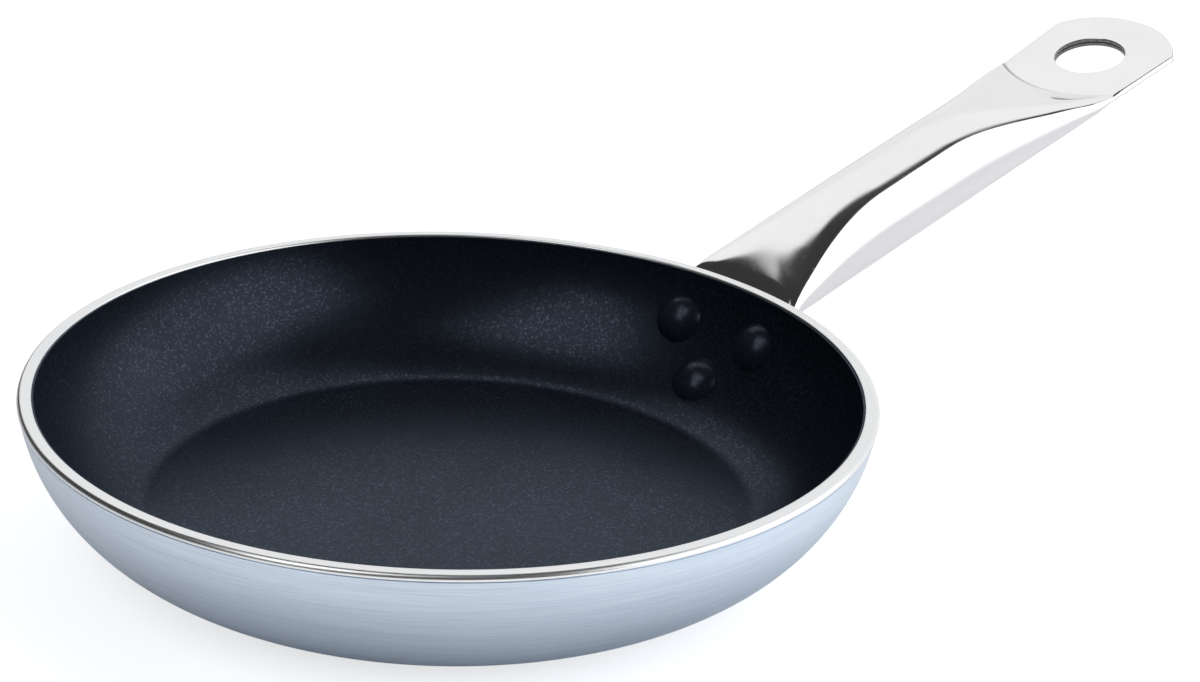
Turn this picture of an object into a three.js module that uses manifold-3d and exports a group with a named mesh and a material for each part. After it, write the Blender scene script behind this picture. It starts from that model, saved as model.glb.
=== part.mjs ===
import * as THREE from "three";
import { mergeVertices } from "three/addons/utils/BufferGeometryUtils.js";
import Module from "manifold-3d";

// A 20 cm non-stick frying pan: a pressed aluminium pan with a coated inside and a polished tube
// handle that is flattened at both ends and held to the wall by three rivets.
// Millimetres, +Z up, the handle along +X, the origin at the centre of the underside.

// Pan
const RIM_RADIUS = 100;
const BASE_RADIUS = 67.4;
const PAN_HEIGHT = 36.8;
const WALL_BULGE = 7.9;
const WALL_THICKNESS = 3.7;
const FLOOR_THICKNESS = 5.7;
const FLOOR_FILLET = 3;
const RIM_ROUNDING = 1.2;
const RIM_STEP = 0.6;
const COATING_THICKNESS = 0.3;
const COATING_FIT = 0.05;
const PAN_SEGMENTS = 60;

// Handle tube. Distances along it are measured from where its bend beside the rim ends.
const TUBE_RADIUS = 12.7;
const TUBE_WALL = 1.05;
const FLAT_GAP = 0.3;
const TUBE_BELOW_RIM = 4;
const TUBE_RISE = THREE.MathUtils.degToRad(12.74);
const BEND_RADIUS = 9;
const WALL_CLEARANCE = 0.15;
const UNWRAP_LENGTH = 12;
const OPENING_LEAD = 4.4;
const OPENING_LENGTH = 49.4;
const CLOSING_LENGTH = 51.2;
const LIFT_LENGTH = 28;
const LIFT_BEFORE_PLATE = 9.4;
const TUBE_QUARTER_STEPS = 8;

// End plate of the handle
const PLATE_RISE = THREE.MathUtils.degToRad(14.49);
const HOLE_DISTANCE = 141.3;
const HOLE_RADIUS = 9.8;
const PLATE_BEFORE_HOLE = 21.9;
const PLATE_CREASE_RADIUS = 30;
const PLATE_PAST_HOLE = 22.5;
const PLATE_END_CROWN = 12;
const PLATE_FLARE = 0.042;

// Rivets and the tongue of the handle that they hold
const RIVET_SPACING = 25.5;
const UPPER_RIVETS_BELOW_RIM = 12.5;
const LOWER_RIVET_BELOW_RIM = 23.3;
const HEAD_RADIUS = 6.1;
const HEAD_HEIGHT = 3.3;
const SHANK_RADIUS = 3;
const SHANK_FIT = 0.15;
const TAIL_RADIUS = 4.7;
const TAIL_HEIGHT = 1.9;
const TAIL_ROUNDING = 1.2;
const RIVET_FIT = 0.15;
const RIVET_SEGMENTS = 20;
const TONGUE_PAST_RIVET = 9;
const TONGUE_SHOULDER = 0.5;

// Room that cutters and untrimmed ends have beyond the finished shape
const TRIM_ALLOWANCE = 4;
const CUT_DEPTH = 24;

const wasm = await Module();
wasm.setup();

function solidOf(geometry) {
  const bare = geometry.clone();
  bare.deleteAttribute("normal");
  bare.deleteAttribute("uv");
  const merged = mergeVertices(bare, 1e-4);
  const index = merged.index.array;
  const triangles = [];
  for (let i = 0; i < index.length; i += 3) {
    const [a, b, c] = [index[i], index[i + 1], index[i + 2]];
    if (a !== b && b !== c && c !== a) triangles.push(a, b, c);
  }
  const vertProperties = new Float32Array(merged.attributes.position.array);
  const mesh = new wasm.Mesh({ numProp: 3, vertProperties, triVerts: new Uint32Array(triangles) });
  return new wasm.Manifold(mesh);
}

function geometryOf(solid) {
  const mesh = solid.getMesh();
  const geometry = new THREE.BufferGeometry();
  geometry.setAttribute("position", new THREE.BufferAttribute(mesh.vertProperties, 3));
  geometry.setIndex(new THREE.BufferAttribute(mesh.triVerts, 1));
  geometry.computeVertexNormals();
  return geometry;
}

function arcPoints(centre, radius, from, to, steps) {
  const clockwise = to < from;
  return new THREE.EllipseCurve(centre.x, centre.y, radius, radius, from, to, clockwise).getPoints(steps);
}

// A solid of revolution about Z. The profile runs anticlockwise in (radius, height).
function turned(profile, segments) {
  return new THREE.LatheGeometry(profile, segments).rotateX(Math.PI / 2);
}

// The outside of the wall is one arc from the edge of the base to the rim.
const baseEdge = new THREE.Vector2(BASE_RADIUS, 0);
const rimEdge = new THREE.Vector2(RIM_RADIUS, PAN_HEIGHT);
const wallChord = rimEdge.distanceTo(baseEdge);
const wallRadius = wallChord ** 2 / (8 * WALL_BULGE) + WALL_BULGE / 2;
const wallRise = rimEdge.clone().sub(baseEdge).angle();
const wallMiddle = baseEdge.clone().lerp(rimEdge, 0.5);
const wallCentre = wallMiddle.addScaledVector(across(wallRise), wallRadius - WALL_BULGE);
const insideRadius = wallRadius - WALL_THICKNESS;

function ahead(heading) {
  return new THREE.Vector2(Math.cos(heading), Math.sin(heading));
}

function across(heading) {
  return new THREE.Vector2(-Math.sin(heading), Math.cos(heading));
}

// The angle below the horizontal at which an arc about the wall's centre reaches a height.
function dropAngle(radius, height) {
  return Math.asin((wallCentre.y - height) / radius);
}

// The inside of the pan from the rim down to the middle of the floor, set back into the metal.
function insideProfile(setBack) {
  const radius = insideRadius + setBack;
  const floor = FLOOR_THICKNESS - setBack;
  const fillet = FLOOR_FILLET + setBack;
  const filletDrop = dropAngle(radius - fillet, floor + fillet);
  const filletX = wallCentre.x + (radius - fillet) * Math.cos(filletDrop);
  const filletCentre = new THREE.Vector2(filletX, floor + fillet);
  return [
    ...arcPoints(wallCentre, radius, -dropAngle(radius, PAN_HEIGHT), -filletDrop, 7),
    ...arcPoints(filletCentre, fillet, -filletDrop, -Math.PI / 2, 2).slice(1),
    new THREE.Vector2(0, floor),
  ];
}

function panBody() {
  const roundingCentre = new THREE.Vector2(RIM_RADIUS - RIM_ROUNDING, PAN_HEIGHT - RIM_ROUNDING);
  const bandDrop = dropAngle(wallRadius, PAN_HEIGHT - RIM_ROUNDING - RIM_STEP);
  const profile = [
    new THREE.Vector2(0, 0),
    ...arcPoints(wallCentre, wallRadius, -dropAngle(wallRadius, 0), -bandDrop, 10),
    ...arcPoints(roundingCentre, RIM_ROUNDING, 0, Math.PI / 2, 3),
    ...insideProfile(COATING_THICKNESS + COATING_FIT),
  ];
  return geometryOf(drilled(solidOf(turned(profile, PAN_SEGMENTS))));
}

function nonstickCoating() {
  const profile = [...insideProfile(COATING_THICKNESS).reverse(), ...insideProfile(0)];
  return geometryOf(drilled(solidOf(turned(profile, PAN_SEGMENTS))));
}

// The spine of the tube: up the wall, round the bend, along the tube and, lifted a little more,
// along the end plate.
const flatHalfHeight = TUBE_WALL + FLAT_GAP / 2;
const tongueRadius = wallRadius + WALL_CLEARANCE + flatHalfHeight;
const tubeStart = new THREE.Vector2(RIM_RADIUS, PAN_HEIGHT - TUBE_BELOW_RIM);
const centreAboveTube = wallCentre.clone().sub(tubeStart).dot(across(TUBE_RISE));
const bendDrop = Math.asin((BEND_RADIUS + centreAboveTube) / (tongueRadius + BEND_RADIUS)) - TUBE_RISE;
const bendHeading = Math.PI / 2 - bendDrop;
const bendLength = BEND_RADIUS * (bendHeading - TUBE_RISE);
const bendCentre = wallCentre.clone().addScaledVector(across(bendHeading), -tongueRadius - BEND_RADIUS);
const plateStart = HOLE_DISTANCE - PLATE_BEFORE_HOLE;
const liftTo = plateStart - LIFT_BEFORE_PLATE;
const liftFrom = liftTo - LIFT_LENGTH;
const liftRadius = LIFT_LENGTH / (PLATE_RISE - TUBE_RISE);

function tubeSpine(along) {
  const lifted = THREE.MathUtils.clamp(along - liftFrom, 0, LIFT_LENGTH);
  const heading = TUBE_RISE + lifted / liftRadius;
  const point = bendCentre.clone().addScaledVector(across(TUBE_RISE), BEND_RADIUS + liftRadius);
  point.addScaledVector(ahead(TUBE_RISE), Math.min(along, liftFrom));
  point.addScaledVector(across(heading), -liftRadius);
  point.addScaledVector(ahead(heading), Math.max(along - liftTo, 0));
  return { point, heading };
}

// Wrap is how far the flattened tube follows the round of the wall: 1 on the wall, 0 on the tube.
function spineAt(along) {
  const wrap = THREE.MathUtils.smoothstep(UNWRAP_LENGTH - along, 0, UNWRAP_LENGTH + bendLength);
  if (along >= 0) return { ...tubeSpine(along), wrap };
  if (along >= -bendLength) {
    const heading = TUBE_RISE - along / BEND_RADIUS;
    const point = bendCentre.clone().addScaledVector(across(heading), BEND_RADIUS);
    return { point, heading, wrap };
  }
  const heading = bendHeading + (along + bendLength) / tongueRadius;
  const point = wallCentre.clone().addScaledVector(across(heading), -tongueRadius);
  return { point, heading, wrap };
}

// The tube opens from flat to round, and closes again up to the arc that creases the end plate.
function halfHeightAt(along, side) {
  const toCreaseCentre = Math.max(plateStart + PLATE_CREASE_RADIUS - along, 0);
  const beforePlate = Math.hypot(toCreaseCentre, side) - PLATE_CREASE_RADIUS;
  const opening = THREE.MathUtils.clamp((along + OPENING_LEAD) / OPENING_LENGTH, 0, 1);
  const closing = THREE.MathUtils.clamp(beforePlate / CLOSING_LENGTH, 0, 1);
  const open = Math.sin((opening * Math.PI) / 2) * Math.sin((closing * Math.PI) / 2);
  return THREE.MathUtils.lerp(flatHalfHeight, TUBE_RADIUS, open);
}

// The tube keeps its girth as it is flattened. The end plate flares a little.
function halfWidthAt(along) {
  const halfHeight = halfHeightAt(along, 0);
  const flare = PLATE_FLARE * Math.max(along - plateStart, 0);
  return (Math.PI * (TUBE_RADIUS - halfHeight)) / 2 + halfHeight + flare;
}

// A quarter of the section from its side to its crown, as a fine line. The side is as round as
// the section is high there.
function fineQuarter(along, inset) {
  const steps = 240;
  const halfWidth = halfWidthAt(along) - inset;
  const roundness = (halfHeightAt(along, halfWidth) - inset) / halfWidth;
  return Array.from({ length: steps + 1 }, (_, i) => {
    const angle = (i / steps) * (Math.PI / 2);
    const side = halfWidth * Math.max(Math.cos(angle), 0) ** roundness;
    return new THREE.Vector2(side, (halfHeightAt(along, side) - inset) * Math.sin(angle));
  });
}

// The same quarter in few points, shared out evenly by length and by turning.
function sectionQuarter(along, inset) {
  const fine = fineQuarter(along, inset);
  const legs = fine.slice(1).map((p, i) => p.clone().sub(fine[i]));
  const wholeLength = legs.reduce((sum, leg) => sum + leg.length(), 0);
  const shares = [0];
  legs.forEach((leg, i) => {
    const turning = i ? Math.abs(leg.angle() - legs[i - 1].angle()) / (Math.PI / 2) : 0;
    shares.push(shares[i] + leg.length() / wholeLength + turning);
  });
  const wholeShare = shares[legs.length];
  return Array.from({ length: TUBE_QUARTER_STEPS + 1 }, (_, i) => {
    const wanted = (wholeShare * i) / TUBE_QUARTER_STEPS;
    const leg = Math.max(shares.findIndex((share) => share >= wanted) - 1, 0);
    const part = (wanted - shares[leg]) / (shares[leg + 1] - shares[leg]);
    return fine[leg].clone().addScaledVector(legs[leg], part);
  });
}

function sectionRing(along, inset) {
  const { point, heading, wrap } = spineAt(along);
  const quarter = sectionQuarter(along, inset);
  const rising = quarter.slice(0, -1);
  const falling = quarter.slice(1).reverse();
  const outline = [
    ...rising,
    ...falling.map((p) => new THREE.Vector2(-p.x, p.y)),
    ...rising.map((p) => new THREE.Vector2(-p.x, -p.y)),
    ...falling.map((p) => new THREE.Vector2(p.x, -p.y)),
  ];
  return outline.map(({ x: side, y: rise }) => {
    const spot = point.clone().addScaledVector(across(heading), rise);
    if (wrap === 0) return new THREE.Vector3(spot.x, side, spot.y);
    const curl = wrap / spot.x;
    const back = (1 - Math.cos(curl * side)) / curl;
    return new THREE.Vector3(spot.x - back, Math.sin(curl * side) / curl, spot.y);
  });
}

// A closed skin through rings of equal size, capped at both ends.
function loft(rings) {
  const count = rings[0].length;
  const positions = rings.flat().flatMap((p) => p.toArray());
  const index = [];
  for (let i = 0; i + 1 < rings.length; i++) {
    for (let j = 0; j < count; j++) {
      const [a, b] = [i * count + j, i * count + ((j + 1) % count)];
      index.push(a, b, b + count, a, b + count, a + count);
    }
  }
  const lastRing = (rings.length - 1) * count;
  for (let j = 1; j + 1 < count; j++) {
    index.push(0, j + 1, j);
    index.push(lastRing, lastRing + j, lastRing + j + 1);
  }
  const geometry = new THREE.BufferGeometry();
  geometry.setAttribute("position", new THREE.Float32BufferAttribute(positions, 3));
  geometry.setIndex(index);
  return geometry;
}

// Where the rivets stand: their drop about the wall's centre and their turn about the pan's axis.
const upperDrop = dropAngle(insideRadius, PAN_HEIGHT - UPPER_RIVETS_BELOW_RIM);
const lowerDrop = dropAngle(insideRadius, PAN_HEIGHT - LOWER_RIVET_BELOW_RIM);
const upperTurn = Math.asin(RIVET_SPACING / 2 / (wallCentre.x + insideRadius * Math.cos(upperDrop)));
const rivetSpots = {
  rivet_upper_left: { drop: upperDrop, turn: upperTurn },
  rivet_upper_right: { drop: upperDrop, turn: -upperTurn },
  rivet_lower: { drop: lowerDrop, turn: 0 },
};

const tongueEnd = -bendLength - tongueRadius * (lowerDrop - bendDrop) - TONGUE_PAST_RIVET;
const plateEnd = HOLE_DISTANCE + PLATE_PAST_HOLE;

function evenly(from, to, steps) {
  return Array.from({ length: steps }, (_, i) => from + ((to - from) * i) / steps);
}

// The outside of the tube, inset by its wall for the bore, its ends not yet trimmed.
function tubeSkin(inset, overrun) {
  const openAt = OPENING_LENGTH - OPENING_LEAD;
  const closeAt = plateStart - CLOSING_LENGTH;
  const creaseReach = Math.sqrt(PLATE_CREASE_RADIUS ** 2 - halfWidthAt(plateStart) ** 2);
  const creaseEnd = plateStart + PLATE_CREASE_RADIUS - creaseReach;
  const stations = [
    ...evenly(tongueEnd - overrun, -bendLength, 7),
    ...evenly(-bendLength, 0, 5),
    ...evenly(0, openAt, 6),
    ...evenly(openAt, closeAt, 2),
    ...evenly(closeAt, plateStart, 7),
    ...evenly(plateStart, creaseEnd, 3),
    creaseEnd,
    plateEnd + overrun,
  ];
  return solidOf(loft(stations.map((along) => sectionRing(along, inset))));
}

// Places a cutter on the spine, made with x ahead, y to the side and z up.
function placedOnSpine(geometry, along) {
  const { point, heading } = spineAt(along);
  return solidOf(geometry.rotateY(-heading).translate(point.x, 0, point.y));
}

// What lies past a round end: an arc from side to side of the plate that bulges along +x.
function endTrim(crown, halfWidth) {
  const radius = (halfWidth ** 2 + crown ** 2) / (2 * crown);
  const corner = Math.asin(halfWidth / radius);
  const beyond = crown + 2 * TRIM_ALLOWANCE;
  const outside = halfWidth + 2 * TRIM_ALLOWANCE;
  const shape = new THREE.Shape();
  shape.moveTo(0, -outside);
  shape.absarc(crown - radius, 0, radius, -corner, corner, false);
  shape.lineTo(0, outside);
  shape.lineTo(beyond, outside);
  shape.lineTo(beyond, -outside);
  const settings = { depth: CUT_DEPTH, bevelEnabled: false, curveSegments: 20 };
  return new THREE.ExtrudeGeometry(shape, settings).translate(0, 0, -CUT_DEPTH / 2);
}

function handleTube() {
  const plateArcAt = plateEnd - PLATE_END_CROWN;
  const tongueArc = halfWidthAt(tongueEnd) - TONGUE_SHOULDER;
  const hole = new THREE.CylinderGeometry(HOLE_RADIUS, HOLE_RADIUS, CUT_DEPTH, 36).rotateX(Math.PI / 2);
  const plateTrim = endTrim(PLATE_END_CROWN, halfWidthAt(plateArcAt));
  const tongueTrim = endTrim(tongueArc, tongueArc).rotateZ(Math.PI);
  const bore = tubeSkin(TUBE_WALL, TRIM_ALLOWANCE + TUBE_WALL);
  const tube = tubeSkin(0, TRIM_ALLOWANCE)
    .subtract(bore)
    .subtract(placedOnSpine(hole, HOLE_DISTANCE))
    .subtract(placedOnSpine(plateTrim, plateArcAt))
    .subtract(placedOnSpine(tongueTrim, tongueEnd + tongueArc));
  return geometryOf(drilled(tube));
}

// Stands a piece on the inside of the wall, its +Z pointing into the pan.
function placedOnWall(geometry, { drop, turn }) {
  const x = wallCentre.x + insideRadius * Math.cos(drop);
  const z = wallCentre.y - insideRadius * Math.sin(drop);
  return solidOf(geometry.rotateY(drop - Math.PI / 2).translate(x, 0, z).rotateZ(turn));
}

function shankCylinder(radius, length, centreHeight) {
  const cylinder = new THREE.CylinderGeometry(radius, radius, length, RIVET_SEGMENTS);
  return cylinder.rotateX(Math.PI / 2).translate(0, 0, centreHeight);
}

function drilled(solid) {
  const drill = () => shankCylinder(SHANK_RADIUS + SHANK_FIT, CUT_DEPTH, 0);
  const cut = (left, spot) => left.subtract(placedOnWall(drill(), spot));
  return Object.values(rivetSpots).reduce(cut, solid);
}

// The inside of the wall as a solid that shapes the underside of the rivet heads.
function wallBlank() {
  const reach = (2 * HEAD_RADIUS) / insideRadius;
  const [top, bottom] = [reach - upperDrop, -reach - lowerDrop];
  const face = arcPoints(wallCentre, insideRadius - RIVET_FIT, top, bottom, 12);
  const back = arcPoints(wallCentre, wallRadius, bottom, top, 12);
  return solidOf(turned([...back, ...face, back[0].clone()], PAN_SEGMENTS));
}

function rivetHead() {
  const domeRadius = (HEAD_RADIUS ** 2 + HEAD_HEIGHT ** 2) / (2 * HEAD_HEIGHT);
  const domeCentre = new THREE.Vector2(0, HEAD_HEIGHT - domeRadius);
  const domeFrom = Math.asin((domeRadius - HEAD_HEIGHT) / domeRadius);
  const dome = arcPoints(domeCentre, domeRadius, domeFrom, Math.PI / 2, 4);
  return turned([new THREE.Vector2(0, 0), ...dome], RIVET_SEGMENTS);
}

// The end formed behind the handle is a low button. It starts inside the tube, which shapes it.
const rivetGrip = WALL_THICKNESS + WALL_CLEARANCE + 2 * flatHalfHeight;
const rivetSink = flatHalfHeight;

function rivetTail() {
  const foot = -rivetGrip - TAIL_HEIGHT;
  const edgeCentre = new THREE.Vector2(TAIL_RADIUS - TAIL_ROUNDING, foot + TAIL_ROUNDING);
  const profile = [
    new THREE.Vector2(0, foot),
    ...arcPoints(edgeCentre, TAIL_ROUNDING, -Math.PI / 2, 0, 3),
    new THREE.Vector2(TAIL_RADIUS, rivetSink - rivetGrip),
    new THREE.Vector2(0, rivetSink - rivetGrip),
  ];
  return turned(profile, RIVET_SEGMENTS);
}

function rivet(spot) {
  const shank = shankCylinder(SHANK_RADIUS, rivetGrip + 2 * rivetSink, -rivetGrip / 2);
  const head = placedOnWall(rivetHead(), spot).subtract(wallBlank());
  const tail = placedOnWall(rivetTail(), spot).subtract(tubeSkin(-RIVET_FIT, TRIM_ALLOWANCE));
  return geometryOf(head.add(placedOnWall(shank, spot)).add(tail));
}

const looks = {
  brushedAluminium: { color: 0xc9cdd2, metalness: 1, roughness: 0.35 },
  darkCoating: { color: 0x161b24, metalness: 0.2, roughness: 0.5 },
  polishedSteel: { color: 0xe3e4e7, metalness: 1, roughness: 0.12 },
};

function piece(name, geometry, look) {
  const mesh = new THREE.Mesh(geometry, new THREE.MeshStandardMaterial(looks[look]));
  mesh.name = name;
  return mesh;
}

const fryingPan = new THREE.Group();
fryingPan.add(piece("pan_body", panBody(), "brushedAluminium"));
fryingPan.add(piece("nonstick_coating", nonstickCoating(), "darkCoating"));
fryingPan.add(piece("handle_tube", handleTube(), "polishedSteel"));
for (const [name, spot] of Object.entries(rivetSpots)) {
  fryingPan.add(piece(name, rivet(spot), "darkCoating"));
}

export default fryingPan;
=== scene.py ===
"""A riveted non-stick frying pan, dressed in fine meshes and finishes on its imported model."""

import functools
import itertools
from math import acos, asin, atan2, copysign, cos, hypot, pi, radians, sin, sqrt, tau
from types import SimpleNamespace

import bmesh
import bpy
from bpy.props import FloatProperty, FloatVectorProperty, IntProperty, PointerProperty
from mathutils import Matrix, Vector


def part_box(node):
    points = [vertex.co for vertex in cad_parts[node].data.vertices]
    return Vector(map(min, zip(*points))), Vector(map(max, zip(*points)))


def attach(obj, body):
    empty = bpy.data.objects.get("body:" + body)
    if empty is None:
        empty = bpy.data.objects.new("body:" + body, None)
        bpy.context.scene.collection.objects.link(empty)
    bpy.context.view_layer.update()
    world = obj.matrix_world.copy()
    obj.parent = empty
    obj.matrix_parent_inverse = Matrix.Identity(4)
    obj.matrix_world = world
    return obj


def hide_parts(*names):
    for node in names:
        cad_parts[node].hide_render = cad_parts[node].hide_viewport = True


bl_info = {
    "name": "Frying Pan Maker",
    "version": (1, 0, 0),
    "blender": (4, 5, 0),
    "location": "3D View > Sidebar > Frying Pan",
    "description": "Builds a riveted non-stick frying pan with a polished tube handle",
    "category": "Add Mesh",
}

MM = 0.001
SAME_PLACE = 1e-7

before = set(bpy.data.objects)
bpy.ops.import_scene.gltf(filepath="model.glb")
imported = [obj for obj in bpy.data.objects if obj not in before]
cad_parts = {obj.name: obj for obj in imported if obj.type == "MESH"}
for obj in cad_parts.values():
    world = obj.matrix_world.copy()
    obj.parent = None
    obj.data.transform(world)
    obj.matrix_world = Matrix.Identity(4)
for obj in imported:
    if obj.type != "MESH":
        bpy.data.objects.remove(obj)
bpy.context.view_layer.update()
pan_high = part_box("pan_body")[1]


def in_mm(description, default):
    """A length that is written in millimetres and kept in metres."""
    settings = {"unit": "LENGTH", "min": 0, "precision": 5}
    return FloatProperty(description=description, default=default * MM, **settings)


def degrees(description, default):
    """An angle that is written in degrees and kept in radians."""
    return FloatProperty(description=description, default=radians(default), unit="ROTATION")


def share(description, default):
    """A plain number such as a share or a level of light."""
    return FloatProperty(description=description, default=default, min=0, subtype="FACTOR")


def tint(description, default):
    """A colour in linear red, green and blue."""
    settings = {"size": 3, "min": 0, "max": 1, "subtype": "COLOR"}
    return FloatVectorProperty(description=description, default=default, **settings)


def named(group):
    """Gives each setting of a group a name in words, made from its name in this script."""
    for name, setting in group.__annotations__.items():
        setting.keywords["name"] = name.replace("_", " ").capitalize()
    return group


@named
class PanSizes(bpy.types.PropertyGroup):
    """Sizes of the pan and of its coating"""

    rim_radius: in_mm("Outside of the rim", pan_high.x / MM)
    height: in_mm("Rim above the hob", pan_high.z / MM)
    base_radius: in_mm("Flat underside", 67.4)
    wall_bulge: in_mm("How far the wall stands out from a straight cone", 7.9)
    wall_thickness: in_mm("Wall with its coating", 3.7)
    floor_thickness: in_mm("Floor with its coating", 5.7)
    floor_fillet: in_mm("Between the floor and the wall", 9)
    rim_rounding: in_mm("Outer edge of the rim", 1.2)
    rim_step: in_mm("Under the rounded edge", 0.6)
    rim_edge: in_mm("Where the rim meets the coating", 0.55)
    coating_thickness: in_mm("Non-stick layer", 0.3)
    coating_fit: in_mm("Room between the coating and the metal", 0.05)
    base_rings: IntProperty(description="Turned grooves of the underside", default=15)
    base_ring_depth: in_mm("Turned grooves of the underside", 0.16)
    turning_steps: IntProperty(description="Steps of a full turn", default=240)


@named
class HandleSizes(bpy.types.PropertyGroup):
    """Sizes of the handle tube, from the tongue on the wall to the end plate"""

    tube_radius: in_mm("Outside radius of the round tube", 12.7)
    tube_wall: in_mm("Sheet that the tube is made of", 1.05)
    flat_gap: in_mm("Between the layers of the flat tube", 0.3)
    below_rim: in_mm("How far under the rim the tube leaves the wall", 4)
    tube_rise: degrees("Slope of the tube", 12.74)
    bend_radius: in_mm("Bend beside the rim", 9)
    wall_clearance: in_mm("Between the tongue and the wall", 0.15)
    unwrap_length: in_mm("Length over which the wall's curve fades", 9)
    opening_lead: in_mm("How far before the bend's end the tube opens", 7)
    opening_length: in_mm("Length over which the tube opens", 48.5)
    opening_ease: share("How gently the tube starts to open", 0.88)
    closing_length: in_mm("Length over which the tube closes", 51.2)
    lift_length: in_mm("Length over which the end plate lifts", 28)
    lift_before_plate: in_mm("How far before the plate the lift ends", 9.4)
    plate_rise: degrees("Slope of the end plate", 14.49)
    plate_before_hole: in_mm("Plate from its crease to the hole", 21.9)
    plate_past_hole: in_mm("Plate from the hole to its end", 22.5)
    plate_end_crown: in_mm("How far the end of the plate bulges", 12)
    plate_flare: share("How much the plate widens along its length", 0.042)
    plate_fold: in_mm("Rounded edge along the plate", 1.5)
    far_band: in_mm("Sloping band on the plate's far side", 5.5)
    far_band_drop: in_mm("How far that band slopes down", 0.3)
    crease_radius: in_mm("Crease across the plate", 30)
    hole_distance: in_mm("Hanging hole along the tube", 141.3)
    hole_radius: in_mm("Hanging hole", 9.8)
    edge_rounding: in_mm("Cut edges", 0.22)
    quarter_steps: IntProperty(description="Steps of a quarter section", default=36)


@named
class RivetSizes(bpy.types.PropertyGroup):
    """Sizes and places of the three rivets"""

    spacing: in_mm("Between the two upper rivets", 25.5)
    upper_below_rim: in_mm("Upper rivets", 12.5)
    lower_below_rim: in_mm("Lower rivet", 23.3)
    head_radius: in_mm("Domed head", 6.6)
    head_height: in_mm("Domed head", 3.4)
    shank_radius: in_mm("Shank in the hole", 3)
    tail_radius: in_mm("Formed end", 4.7)
    tail_height: in_mm("Formed end", 1.9)
    tail_rounding: in_mm("Formed end", 1.2)
    tongue_past_rivet: in_mm("Tongue below the lower rivet", 9)
    tongue_shoulder: in_mm("Straight side beside the tongue's end", 0.5)
    turning_steps: IntProperty(description="Steps of a full turn", default=64)


@named
class FinishColours(bpy.types.PropertyGroup):
    """Colours of the finishes"""

    aluminium_pale: tint("Crests of the brush lines", (0.76, 0.842, 0.935))
    aluminium_deep: tint("Troughs of the brush lines", (0.58, 0.67, 0.785))
    rim: tint("Polished rim", (0.90, 0.91, 0.92))
    coating: tint("Non-stick layer", (0.0215, 0.0285, 0.044))
    fleck: tint("Flakes in the non-stick layer", (0.067, 0.081, 0.114))
    steel: tint("Polished handle", (0.90, 0.895, 0.91))
    tail: tint("Bare end of a rivet", (0.72, 0.73, 0.74))


@named
class StudioSettings(bpy.types.PropertyGroup):
    """Camera, floor and light"""

    handle_azimuth: degrees("Turn of the view away from the handle's side", 46.2)
    elevation: degrees("Height of the camera above the horizon", 22.622)
    roll: degrees("Tilt of the camera", 2.217)
    distance: FloatProperty(description="Camera to rim", default=0.74705, unit="LENGTH")
    across: FloatProperty(description="Aim to the side", default=-0.03433, unit="LENGTH")
    aloft: FloatProperty(description="Aim upwards", default=-0.01088, unit="LENGTH")
    lens: FloatProperty(description="Focal length", default=96, unit="CAMERA")
    floor: tint("Colour of the floor", (0.80, 0.81, 0.83))
    floor_lift: share("What brings the open floor up to white", 0.70)
    right_light: share("Light from the right", 1.40)
    left_light: share("Light from the left", 1.60)
    back_light: share("Light from behind", 0.96)
    gap_light: share("Dark gap overhead", 0.038)


# Plain sums and the shape of the wall


def ahead_of(heading):
    return Vector((cos(heading), sin(heading)))


def left_of(heading):
    return Vector((-sin(heading), cos(heading)))


def clamp(value, low, high):
    return max(low, min(high, value))


def smooth_step(value, low, high):
    t = clamp((value - low) / (high - low), 0, 1)
    return t * t * (3 - 2 * t)


def mix(a, b, t):
    return a + (b - a) * t


def wall_arc(pan):
    """The arc of the outside of the wall, in radius and height."""
    base_edge = Vector((pan.base_radius, 0))
    chord = Vector((pan.rim_radius, pan.height)) - base_edge
    radius = chord.length_squared / (8 * pan.wall_bulge) + pan.wall_bulge / 2
    rise = atan2(chord.y, chord.x)
    centre = base_edge + chord / 2 + left_of(rise) * (radius - pan.wall_bulge)
    return SimpleNamespace(centre=centre, radius=radius, inside=radius - pan.wall_thickness)


def drop_to(wall, radius, height):
    """Angle below the horizontal at which an arc about the wall's centre reaches a height."""
    return asin((wall.centre.y - height) / radius)


# Turned shapes


class Profile:
    """A line drawn in the plane of radius and height, then turned about the vertical axis."""

    def __init__(self, radius, height):
        self.bm = bmesh.new()
        self.end = self.bm.verts.new((radius, 0, height))

    def to(self, radius, height):
        self.end = bmesh.ops.extrude_vert_indiv(self.bm, verts=[self.end])["verts"][0]
        self.end.co = (radius, 0, height)

    def arc(self, centre, turn, steps):
        """Carries the line on round a centre, anticlockwise for a positive turn."""
        about = {"cent": (centre.x, 0, centre.y), "axis": (0, -1, 0)}
        made = bmesh.ops.spin(self.bm, geom=[self.end], angle=turn, steps=steps, **about)
        self.end = next(item for item in made["geom_last"] if isinstance(item, bmesh.types.BMVert))

    def turn(self, steps):
        """Turns the line into a closed skin."""
        bm = self.bm
        about = {"cent": (0, 0, 0), "axis": (0, 0, 1), "angle": tau}
        bmesh.ops.spin(bm, geom=bm.verts[:] + bm.edges[:], steps=steps, use_merge=True, **about)
        bmesh.ops.remove_doubles(bm, verts=bm.verts, dist=SAME_PLACE)
        bmesh.ops.recalc_face_normals(bm, faces=bm.faces)
        return bm


def shade(bm, sharp_angle):
    for face in bm.faces:
        face.smooth = True
    for edge in bm.edges:
        if len(edge.link_faces) == 2 and edge.calc_face_angle() > sharp_angle:
            edge.smooth = False


def add_object(bm, name, finishes):
    """Puts a finished mesh in the scene."""
    mesh = bpy.data.meshes.new(name)
    bm.to_mesh(mesh)
    bm.free()
    for finish in finishes:
        mesh.materials.append(finish)
    made = bpy.data.objects.new(name, mesh)
    bpy.context.scene.collection.objects.link(made)
    return made


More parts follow.
